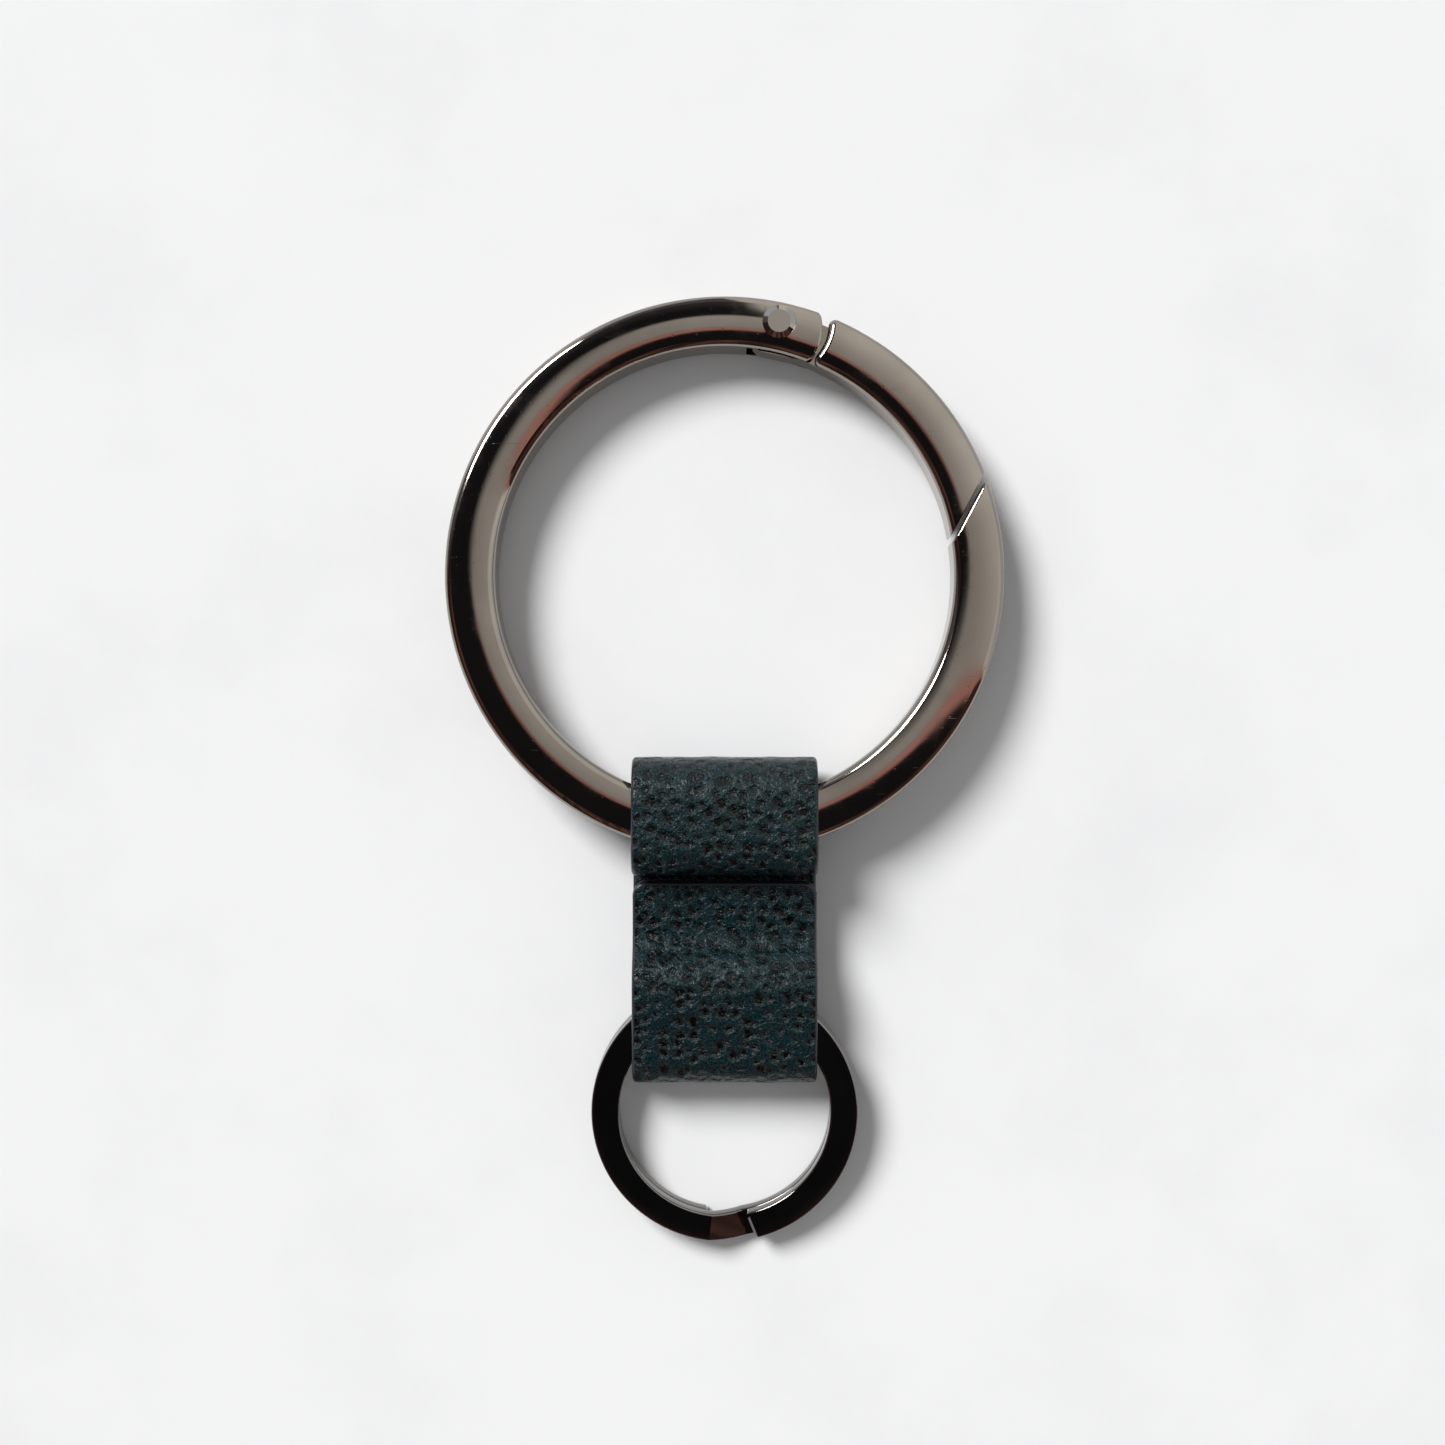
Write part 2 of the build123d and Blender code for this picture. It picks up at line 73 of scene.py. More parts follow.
class Shading:
    """A node tree with short calls for the nodes that the finishes use."""

    def __init__(self, tree: bpy.types.NodeTree) -> None:
        """Start from an empty tree."""
        self.tree = tree
        tree.nodes.clear()

    def add(self, kind: str, feeds: dict[str | int, Feed], **settings: object) -> bpy.types.Node:
        """Add a node, set its properties and feed its inputs.

        Args:
            kind: node type without its ShaderNode prefix.
            feeds: value or socket for each input, by name or number.
            settings: properties of the node.

        Returns:
            The new node.
        """
        node = self.tree.nodes.new("ShaderNode" + kind)
        for key, value in settings.items():
            setattr(node, key, value)
        for key, value in feeds.items():
            if isinstance(value, bpy.types.NodeSocket):
                self.tree.links.new(value, node.inputs[key])
            else:
                node.inputs[key].default_value = value
        return node

    def math(self, operation: str, first: Feed, second: Feed = 0.0) -> bpy.types.NodeSocket:
        """Result of a Math node."""
        return self.add("Math", {0: first, 1: second}, operation=operation).outputs[0]

    def ease(self, value: Feed, low: float, high: float, start: float = 0.0,
             end: float = 1.0) -> bpy.types.NodeSocket:
        """Smooth step of a value from start to end as it goes from low to high."""
        feeds = {"Value": value, "From Min": low, "From Max": high, "To Min": start, "To Max": end}
        return self.add("MapRange", feeds, interpolation_type="SMOOTHSTEP").outputs[0]

    def blend(self, share: Feed, first: Feed, second: Feed) -> bpy.types.NodeSocket:
        """Mix two colours.

        Args:
            share: 0 for the first colour and 1 for the second.
            first: colour or socket.
            second: colour or socket.

        Returns:
            The mixed colour's socket.
        """
        node = self.add("Mix", {0: share}, data_type="RGBA")
        for number, value in ((6, first), (7, second)):
            if isinstance(value, bpy.types.NodeSocket):
                self.tree.links.new(value, node.inputs[number])
            else:
                node.inputs[number].default_value = (*value, 1.0)
        return node.outputs[2]

    def noise(self, place: Feed, scale: float, detail: float = 2.0,
              roughness: float = 0.5) -> bpy.types.NodeSocket:
        """Height of a noise texture, with its scale in features per unit of the place."""
        feeds = {"Vector": place, "Scale": scale, "Detail": detail, "Roughness": roughness}
        return self.add("TexNoise", feeds).outputs[0]

    def cells(self, place: Feed, scale: float, feature: str = "F1",
              randomness: float = 1.0) -> bpy.types.Node:
        """A Voronoi texture node over the first two coordinates."""
        feeds = {"Vector": place, "Scale": scale, "Randomness": randomness}
        settings = {"voronoi_dimensions": "2D", "feature": feature}
        return self.add("TexVoronoi", feeds, **settings)

    def mapped(self, place: Feed, scale: tuple, turn: tuple = (0.0, 0.0, 0.0)) -> Feed:
        """A place turned and then scaled along each axis."""
        return self.add("Mapping", {"Vector": place, "Scale": scale, "Rotation": turn}).outputs[0]

    def relief(self, height: Feed, depth: float, under: Feed | None = None) -> Feed:
        """Normal of a bumped surface.

        Args:
            height: relief from 0 to 1.
            depth: its depth in millimetres.
            under: normal of a relief below this one.

        Returns:
            The normal's socket.
        """
        feeds = {"Height": height, "Strength": 1.0, "Distance": depth * MM}
        if under is not None:
            feeds["Normal"] = under
        return self.add("Bump", feeds).outputs[0]

    def surface(self, **feeds: Feed) -> None:
        """Finish the tree with a Principled shader, its inputs named with _ for spaces."""
        shader = self.add("BsdfPrincipled", {k.replace("_", " "): v for k, v in feeds.items()})
        self.add("OutputMaterial", {"Surface": shader.outputs[0]})


def new_material(name: str) -> tuple[bpy.types.Material, Shading]:
    """Make an empty node material.

    Args:
        name: the material's name.

    Returns:
        The material and the shading that fills it.
    """
    material = bpy.data.materials.new(name)
    material.use_nodes = True
    return material, Shading(material.node_tree)


# ---------------------------------------------------------------------------------------------
# Finishes
# ---------------------------------------------------------------------------------------------

@dataclass(frozen=True)
class PlatedMetal:
    """Polished plating with hairline scratches, faint smears and a few specks."""

    name: str
    deep: Colour
    pale: Colour
    polish: float = 0.06
    smear: float = 0.07
    scratch_depth: float = 0.0012

    def material(self) -> bpy.types.Material:
        """Build the plating.

        Returns:
            A metal whose tone, gloss and relief vary over the surface in millimetres.
        """
        material, shade = new_material(self.name)
        place = shade.add("TexCoord", {}).outputs["Object"]
        place = shade.mapped(place, (1 / MM,) * 3)
        tone = shade.ease(shade.noise(place, 0.12, 3.0), 0.35, 0.65)
        smears = shade.ease(shade.noise(place, 0.35, 4.0, 0.6), 0.45, 0.8)
        hairs = []
        for turn, scale in ((0.5, (0.12, 7.0, 0.6)), (2.1, (0.1, 6.0, 0.6))):
            along = shade.mapped(place, scale, (0.0, 0.0, turn))
            hairs.append(shade.ease(shade.noise(along, 1.0, 3.0, 0.7), 0.71, 0.75))
        scratches = shade.math("MAXIMUM", hairs[0], hairs[1])
        specks = shade.cells(place, 0.55)
        speck = shade.ease(specks.outputs["Distance"], 0.03, 0.06, 1.0, 0.0)
        worn = shade.math("MAXIMUM", scratches, speck)
        gloss = shade.math("MULTIPLY_ADD", smears, self.smear)
        gloss.node.inputs[2].default_value = self.polish
        rough = shade.math("MULTIPLY_ADD", worn, 0.05)
        shade.tree.links.new(gloss, rough.node.inputs[2])
        lowered = shade.math("SUBTRACT", 1.0, worn)
        shade.surface(
            Base_Color=shade.blend(tone, self.deep, self.pale),
            Metallic=1.0,
            Roughness=rough,
            Normal=shade.relief(lowered, self.scratch_depth),
        )
        return material


@dataclass(frozen=True)
class PebbledLeather:
    """Coated leather with a pebbled grain: round dark pits, fine creases and painted edges."""

    name: str = "teal_pebbled_leather"
    ground: Colour = (0.0012, 0.0052, 0.0068)
    light: Colour = (0.007, 0.037, 0.043)
    pit: Colour = (0.0008, 0.0015, 0.002)
    paint: Colour = (0.019, 0.023, 0.031)
    pit_pitch: float = 1.22
    paint_width: float = 0.4

    def material(self) -> bpy.types.Material:
        """Build the leather.

        Returns:
            A material that reads the strap's own map, in millimetres, and its border distance.
        """
        material, shade = new_material(self.name)
        place = shade.add("UVMap", {}, uv_map=GRAIN_MAP).outputs[0]
        sway = shade.add("TexNoise", {"Vector": place, "Scale": 0.9, "Detail": 2.0})
        feeds = {0: sway.outputs["Color"], 1: (0.5, 0.5, 0.5)}
        sway = shade.add("VectorMath", feeds, operation="SUBTRACT").outputs[0]
        bent = shade.add("VectorMath", {0: sway, 1: (0.9,) * 3, 2: place}, operation="MULTIPLY_ADD")
        bent = bent.outputs[0]

        pits = shade.cells(bent, 1 / self.pit_pitch, randomness=0.82)
        chance = shade.add("SeparateColor", {0: pits.outputs["Color"]}).outputs[0]
        size = shade.ease(chance, 0.0, 1.0, 0.0, 0.2)
        reach = shade.math("SUBTRACT", pits.outputs["Distance"], size)
        ragged = shade.noise(place, 4.5, 2.0)
        reach = shade.math("ADD", reach, shade.ease(ragged, 0.2, 0.8, -0.06, 0.06))
        pit = shade.ease(reach, 0.08, 0.2, 1.0, 0.0)
        small = shade.cells(bent, 1.55, randomness=1.0)
        small_pit = shade.ease(small.outputs["Distance"], 0.1, 0.22, 0.8, 0.0)
        few = shade.add("SeparateColor", {0: small.outputs["Color"]}).outputs[0]
        small_pit = shade.math("MULTIPLY", small_pit, shade.ease(few, 0.55, 0.6))
        pit = shade.math("MAXIMUM", pit, small_pit)

        creases = shade.cells(bent, 2.6, "DISTANCE_TO_EDGE").outputs["Distance"]
        creases = shade.ease(creases, 0.0, 0.12)
        fibre = shade.noise(shade.mapped(place, (1.0, 0.7, 1.0)), 6.5, 5.0, 0.65)
        pebble = shade.noise(bent, 1.7, 2.0)

        border = shade.add("Attribute", {}, attribute_name=BORDER).outputs["Fac"]
        edge = shade.math("ADD", border, shade.ease(shade.noise(place, 3.0), 0.3, 0.7, -0.05, 0.05))
        painted = shade.ease(edge, self.paint_width - 0.03, self.paint_width + 0.03, 1.0, 0.0)
        open_grain = shade.math("SUBTRACT", 1.0, painted)

        creased = shade.ease(creases, 0.0, 1.0, 0.35)
        tone = shade.math("MULTIPLY", shade.ease(fibre, 0.38, 0.66), creased)
        colour = shade.blend(tone, self.ground, self.light)
        colour = shade.blend(pit, colour, self.pit)
        colour = shade.blend(painted, colour, self.paint)

        bowl = shade.math("MAXIMUM", shade.ease(reach, 0.0, 0.4, 1.0, 0.0), small_pit)
        low = shade.math("MULTIPLY", bowl, open_grain)
        deep = shade.relief(shade.math("SUBTRACT", 1.0, low), 0.26)
        fine = shade.math("MULTIPLY", shade.math("MULTIPLY", fibre, creases), open_grain)
        fine = shade.relief(fine, 0.03, deep)
        round_grain = shade.relief(shade.math("MULTIPLY", pebble, open_grain), 0.09, fine)
        rough = shade.math("MULTIPLY_ADD", pit, -0.08)
        rough.node.inputs[2].default_value = 0.23
        rough = shade.math("ADD", rough, shade.ease(fibre, 0.3, 0.7, 0.05, -0.05))
        shade.surface(
            Base_Color=colour,
            Roughness=rough,
            Normal=round_grain,
            Specular_IOR_Level=0.3,
        )
        return material


@dataclass(frozen=True)
class SmoothLining:
    """Matt lining leather with a short nap, painted along its border as the face leather is."""

    name: str = "dark_smooth_lining"
    ground: Colour = (0.012, 0.018, 0.022)
    light: Colour = (0.028, 0.036, 0.042)
    paint: Colour = (0.028, 0.033, 0.042)
    paint_width: float = 0.16

    def material(self) -> bpy.types.Material:
        """Build the lining.

        Returns:
            A material that reads the strap's own map, in millimetres, and its border distance.
        """
        material, shade = new_material(self.name)
        place = shade.add("UVMap", {}, uv_map=GRAIN_MAP).outputs[0]
        nap = shade.noise(shade.mapped(place, (1.0, 0.6, 1.0)), 7.0, 5.0, 0.7)
        patch = shade.noise(place, 0.5, 2.0)
        border = shade.add("Attribute", {}, attribute_name=BORDER).outputs["Fac"]
        painted = shade.ease(border, self.paint_width - 0.03, self.paint_width + 0.03, 1.0, 0.0)
        colour = shade.blend(shade.math("MULTIPLY", nap, patch), self.ground, self.light)
        shade.surface(
            Base_Color=shade.blend(painted, colour, self.paint),
            Roughness=shade.ease(painted, 0.0, 1.0, 0.85, 0.42),
            Normal=shade.relief(nap, 0.03),
            Sheen_Weight=0.2,
        )
        return material


# ---------------------------------------------------------------------------------------------
# Strap
# ---------------------------------------------------------------------------------------------

@dataclass(frozen=True)
class RingPlace:
    """Where a ring lies: its centre and its tilt about X, read from its joint."""

    centre_y: float
    height: float
    tilt: float
    radius: float

    @classmethod
    def of(cls, joint: str, node: str) -> "RingPlace":
        """Read the ring that a joint carries.

        Args:
            joint: name of the joint at the ring's centre.
            node: CAD node whose width is the ring's diameter.

        Returns:
            The ring's place, in millimetres and radians.
        """
        found = next(entry for entry in frame["joints"] if entry["name"] == joint)
        low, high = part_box(node)
        _, y, z = found["pos_m"]
        return cls(y / MM, z / MM, math.asin(found["axis"][1]), (high.x - low.x) / 2 / MM)

    def top(self, y: Grid, half: float) -> Grid:
        """Height over the ring's upper side, a half thickness above its tilted plane."""
        return self.height - (y - self.centre_y) * math.tan(self.tilt) + half / math.cos(self.tilt)


class Layer(Enum):
    """The strap's two layers, by the side of the glue line that each lies on."""

    FACE = -1
    LINING = 1


@dataclass
class FoldedStrap:
    """One strip of lined leather, folded into a loop round each ring."""

    width: float = 16.5
    face: float = 0.9
    lining: float = 0.6
    glue: float = 0.05
    face_edge: float = 0.35
    lining_edge: float = 0.12
    flap_corner: float = 1.3
    flap_setback: float = 2.4
    flap_lift: float = 0.22
    inner_setback: float = 1.3
    gate_half: float = 2.4
    gate_width: float = 4.5
    split_half: float = 1.28
    gate_room: float = 0.3
    split_room: float = 0.25
    hump_overhang: float = 0.4
    rise_length: float = 2.6
    crest_inset: float = 0.7
    fold_slope: float = 0.95
    fold_share: float = 0.9
    ridge_setback: float = 2.2
    border_fade: float = 0.8
    columns: int = 66
    straights: tuple[int, ...] = (60, 20, 50, 6, 36, 6, 12, 34, 16, 14)
    bends: tuple[int, ...] = (12, 12, 18, 14, 18, 26, 12, 14, 10)

    def __post_init__(self) -> None:
        """Read the rings' places and the ends of the folds from the frame."""
        self.gate_ring = RingPlace.of("gate_ring_turn", "gate_ring_body")
        self.split_ring = RingPlace.of("split_ring_turn", "split_ring")
        low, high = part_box("strap_leather")
        self.lower_fold = low.y / MM + self.face
        self.upper_fold = high.y / MM - self.face

    def route(self, x: Grid) -> tuple[Grid, Grid]:
        """Corners of the glue line at each column, and the radius at each inner corner.

        The flap's end is set back at its rounded corners. From a crest over the gate ring's inner
        edge the strap slopes down to its upper fold.

        Args:
            x: the columns' places across the strap.

        Returns:
            Corners, as corner by column by (Y, Z), and the radii of all but the first and last.
        """
        gate, split = self.gate_ring, self.split_ring
        over = np.maximum(np.abs(x) - (self.width / 2 - self.flap_corner), 0)
        set_back = self.flap_corner - np.sqrt(self.flap_corner**2 - over**2)
        end = gate.centre_y - gate.radius - self.flap_setback - set_back
        hump = np.full_like(x, split.centre_y + split.radius + self.hump_overhang)
        drop = np.full_like(x, gate.centre_y - gate.radius - self.gate_room - self.lining)
        crest = np.full_like(x, gate.centre_y - gate.radius + self.gate_width + self.crest_inset)
        inner_end = np.full_like(x, split.centre_y + split.radius + self.inner_setback)
        inner = self.face + self.lining + self.glue + self.lining
        flap = inner + self.face + self.lining + self.glue
        over_gate = self.gate_room + self.lining
        over_split = self.split_room + self.lining
        lower, upper = (np.full_like(x, y) for y in (self.lower_fold, self.upper_fold))
        fold_top = gate.top(upper, self.gate_half) + over_gate - self.fold_slope
        level = np.full_like
        corners = [
            (end, level(x, flap + self.flap_lift)),
            (hump + self.rise_length, level(x, flap)),
            (hump, split.top(hump, self.split_half) + over_split),
            (lower, split.top(lower, self.split_half) + over_split),
            (lower, level(x, self.face)),
            (upper, level(x, self.face)),
            (upper, fold_top),
            (crest, gate.top(crest, self.gate_half) + over_gate),
            (drop, gate.top(drop, self.gate_half) + over_gate),
            (drop, level(x, inner)),
            (inner_end, level(x, inner)),
        ]
        fold = (fold_top.mean() - self.face) / 2
        radii = np.array([3.5, 4.0, 1.8, 1.6, 2.5, fold * self.fold_share, 5.0, 1.5, 1.3])
        return np.array(corners).transpose(0, 2, 1), radii

    def section(self, thickness: float, edge: float) -> tuple[Grid, Grid, Grid]:
        """Columns across the strap, which close up round both long edges.

        Over an edge of radius e, a column at angle a lies e (1 - cos a) in from the side, and the
        layer there is e (1 - sin a) thinner.

        Args:
            thickness: the layer's thickness.
            edge: radius of its long edges.

        Returns:
            For each column its X, the layer's thickness, and its distance from the border.
        """
        angle = np.linspace(0, np.pi / 2, 8)[:-1]
        side = self.width / 2 - edge * (1 - np.cos(angle))
        middle = np.linspace(-self.width / 2 + edge, self.width / 2 - edge, self.columns)
        x = np.concatenate([-side, middle, side[::-1]])
        thin = thickness - edge * (1 - np.sin(angle))
        depth = np.concatenate([thin, np.full_like(middle, thickness), thin[::-1]])
        round_edge = edge * angle
        inward = edge * np.pi / 2 + self.width / 2 - edge - np.abs(middle)
        return x, depth, np.concatenate([round_edge, inward, round_edge[::-1]])

    def line_beside(self, x: Grid, distance: Grid, edge: float) -> tuple[Grid, Grid, Grid]:
        """Rounded line beside the glue line, at each column.

        Each corner moves out along the sum of its two normals, over 1 plus their product, and its
        radius changes by the distance. A bend's point at angle a lies r sin a along the heading
        and r (1 - cos a) towards the centre.

        Args:
            x: the columns' places across the strap.
            distance: each column's distance to the left of the glue line.
            edge: depth over which the first and last rows close up.

        Returns:
            Points as row by column by (Y, Z), the left normals there, and each row's distance
            from the nearer end.
        """
        corners, radii = self.route(x)
        steps = np.diff(corners, axis=0)
        headings = steps / np.linalg.norm(steps, axis=-1, keepdims=True)
        lefts = np.stack([-headings[..., 1], headings[..., 0]], axis=-1)
        before, after = lefts[:-1], lefts[1:]
        aligned = (before * after).sum(-1)
        aside = distance[None, :, None]
        moved = corners[1:-1] + (before + after) * aside / (1 + aligned)[..., None]
        first, last = corners[:1] + lefts[:1] * aside, corners[-1:] + lefts[-1:] * aside
        points = np.concatenate([first, moved, last])
        turn = np.sign(before[..., 0] * after[..., 1] - before[..., 1] * after[..., 0])
        radius = radii[:, None] - turn * distance[None, :]
        angle = np.arccos(np.clip(aligned, -1, 1))
        reach = radius * np.tan(angle / 2)
        enter = points[1:-1] - headings[:-1] * reach[..., None]
        leave = points[1:-1] + headings[1:] * reach[..., None]
        starts = np.concatenate([points[:1], leave])
        ends = np.concatenate([enter, points[-1:]])

        close = edge * (1 - np.cos(np.linspace(0, np.pi / 2, 7)))
        rows, normals, from_end = [], [], []
        count = len(self.straights)
        for number, pieces in enumerate(self.straights):
            length = np.linalg.norm(ends[number] - starts[number], axis=-1)
            share = np.linspace(0, 1, pieces + 1)[:, None] * np.ones_like(length)
            along = share * length
            if number == 0:
                along = np.concatenate([close[:-1, None] + 0 * length,
                                        close[-1] + share * (length - close[-1])])
                distance_in = along
            elif number == count - 1:
                along = np.concatenate([share * (length - close[-1]),
                                        length - close[-2::-1, None]])
                distance_in = length - along
            else:
                distance_in = np.full_like(along, self.width)
            rows.append(starts[number] + headings[number] * along[..., None])
            normals.append(np.broadcast_to(lefts[number], rows[-1].shape))
            from_end.append(distance_in)
            if number == count - 1:
                break
            sweep = np.linspace(0, 1, self.bends[number] + 2)[1:-1, None] * angle[number]
            forward = (radius[number] * np.sin(sweep))[..., None] * headings[number]
            inward = (turn[number] * radius[number] * (1 - np.cos(sweep)))[..., None]
            rows.append(enter[number] + forward + inward * lefts[number])
            tilt = (turn[number] * sweep)[..., None]
            normals.append(np.cos(tilt) * lefts[number] - np.sin(tilt) * headings[number])
            from_end.append(np.full(sweep.shape, self.width))
        return np.concatenate(rows), np.concatenate(normals), np.concatenate(from_end)

    def wrinkles(self, x: Grid, points: Grid, normals: Grid) -> Grid:
        """Soft relief of the face leather.

        Low waves are sums of sines in X and Y. Each ridge is a Gaussian of the distance from a
        straight line across the flap, stronger and weaker along its length.

        Args:
            x: the columns' places.
            points: the face's points.
            normals: left normals there, which point into the strap.

        Returns:
            How far each point moves outwards.
        """
        y = points[..., 0]
        along = y + 0.6 * points[..., 1]
        waves = (
            0.020 * np.sin(0.9 * x + 0.7 * along + 0.4) * np.sin(0.5 * along - 0.3 * x)
            + 0.012 * np.sin(2.3 * x - 1.1 * along + 1.9)
            + 0.010 * np.sin(1.4 * x + 2.6 * along)
        )
        flap_start = self.gate_ring.centre_y - self.gate_ring.radius - self.ridge_setback
        on_flap = (normals[..., 1] < -0.5) & (y < flap_start)
        ridges = np.zeros_like(y)
        for at, slope, height, width, phase in (
            (-12.7, 0.00, 0.055, 0.28, 0.3),
            (-16.9, 0.03, 0.085, 0.34, 1.1),
            (-20.1, 0.31, 0.075, 0.36, 2.0),
            (-18.4, 0.12, 0.045, 0.25, 0.8),
        ):
            uneven = 0.6 + 0.4 * np.sin(0.8 * x + phase) * np.cos(0.33 * x - phase)
            bend = 0.18 * np.sin(0.9 * x + 2 * phase)
            ridges += height * uneven * np.exp(-((y - at - slope * x - bend) / width) ** 2)
        return waves + ridges * on_flap

    def build(self, layer: Layer, name: str) -> bpy.types.Object:
        """Make one layer of the strap as a closed sheet.

        Args:
            layer: which layer.
            name: the piece's name.

        Returns:
            The sheet, with its grain map and border distance.
        """
        thickness, edge = {
            Layer.FACE: (self.face, self.face_edge),
            Layer.LINING: (self.lining, self.lining_edge),
        }[layer]
        x, depth, from_side = self.section(thickness, edge)
        glued, _, _ = self.line_beside(x, np.zeros_like(x), edge)
        outer, normals, from_end = self.line_beside(x, layer.value * depth, edge)
        side_in = np.clip(1 - np.minimum(from_side, edge * np.pi / 2) / (edge * np.pi / 2), 0, 1)
        end_in = np.clip(edge - from_end, 0, edge)
        side_drop = edge * (1 - np.sin((1 - side_in) * np.pi / 2))
        side_reach = edge * np.sin(side_in * np.pi / 2)
        flat = np.sqrt(np.maximum(edge**2 - end_in**2 - side_reach**2, 0))
        extra = np.clip(edge - flat - side_drop, 0, edge)
        outer = outer - layer.value * normals * extra[..., None]
        if layer is Layer.FACE:
            lift = self.wrinkles(x, outer, normals) * np.clip(from_side / self.border_fade, 0, 1)
            outer = outer - normals * (lift * np.clip(from_end / self.border_fade, 0, 1))[..., None]
        middle = len(x) // 2
        run = np.linalg.norm(np.diff(outer[:, middle], axis=0), axis=-1)
        along = np.concatenate([[0], np.cumsum(run)])
        border = np.minimum(from_side, from_end)
        return closed_sheet(name, x, outer, glued, along, border)


def closed_sheet(name: str, x: Grid, outer: Grid, inner: Grid, along: Grid,
                 border: Grid) -> bpy.types.Object:
    """Mesh of a sheet between two grids with the same rows and columns.

    Both grids are faced with quads, and a strip of quads closes each of the four borders. The
    order of the corners follows from the sign of the enclosed volume, which is a sixth of the sum
    of each corner's product with the cross product of the next two.

    Args:
        name: the piece's name.
        x: the columns' places in millimetres.
        outer: outer grid, row by column by (Y, Z).
        inner: inner grid of the same shape.
        along: each row's distance along the strap.
        border: distance of each outer point from the sheet's border.

    Returns:
        The new object.
    """
    rows, columns = outer.shape[:2]
    across = np.broadcast_to(x, (rows, columns))
    sides = [np.concatenate([across[..., None], grid], axis=-1) for grid in (outer, inner)]
    points = np.concatenate([side.reshape(-1, 3) for side in sides]) * MM
    index = np.arange(rows * columns).reshape(rows, columns)
    below = index + rows * columns

    def strip(first: Grid, second: Grid) -> Grid:
        """Quads between two rows of points."""
        return np.stack([first[:-1], first[1:], second[1:], second[:-1]], axis=-1).reshape(-1, 4)

    quads = np.concatenate([
        strip(index[:-1].T, index[1:].T),
        strip(below[1:].T, below[:-1].T),
        strip(below[0], index[0]),
        strip(index[-1], below[-1]),
        strip(index[:, 0], below[:, 0]),
        strip(below[:, -1], index[:, -1]),
    ])
    corners = points[quads]
    volume = sum(
        np.einsum("ij,ij->", corners[:, 0], np.cross(corners[:, a], corners[:, a + 1]))
        for a in (1, 2)
    )
    if volume < 0:
        quads = quads[:, ::-1]
    mesh = bpy.data.meshes.new(name)
    mesh.from_pydata(points.tolist(), [], quads.tolist())
    grain = np.stack([across, np.broadcast_to(along[:, None], (rows, columns))], axis=-1)
    grain = np.concatenate([grain.reshape(-1, 2)] * 2)
    used = np.empty(len(mesh.loops), dtype=np.int32)
    mesh.loops.foreach_get("vertex_index", used)
    layer = mesh.uv_layers.new(name=GRAIN_MAP)
    layer.uv.foreach_set("vector", grain[used].astype(np.float32).ravel())
    distance = np.concatenate([border.ravel(), border.ravel()]).astype(np.float32)
    mesh.attributes.new(BORDER, "FLOAT", "POINT").data.foreach_set("value", distance)
    mesh.polygons.foreach_set("use_smooth", np.ones(len(mesh.polygons), dtype=bool))
    mesh.set_sharp_from_angle(angle=math.radians(48))
    mesh.update()
    made = bpy.data.objects.new(name, mesh)
    bpy.context.scene.collection.objects.link(made)
    return made


@dataclass
class LeatherStrap:
    """The strap as a sub-assembly: its face leather and its lining."""

    fold: FoldedStrap
    leather: PebbledLeather
    lining: SmoothLining

    def build(self) -> list[bpy.types.Object]:
        """Make and dress both layers, which stand for the strap's two solids.

        Returns:
            The face leather and the lining.
        """
        made = []
        for layer, name, node, slot, finish in (
            (Layer.FACE, "pebbled_strap_leather", "strap_leather", "teal_leather", self.leather),
            (Layer.LINING, "smooth_strap_lining", "strap_lining", "dark_lining", self.lining),
        ):
            piece = self.fold.build(layer, name)
            piece.data.materials.append(finish.material())
            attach(piece, "strap")
            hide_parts(node)
            made.append(piece)
        return made


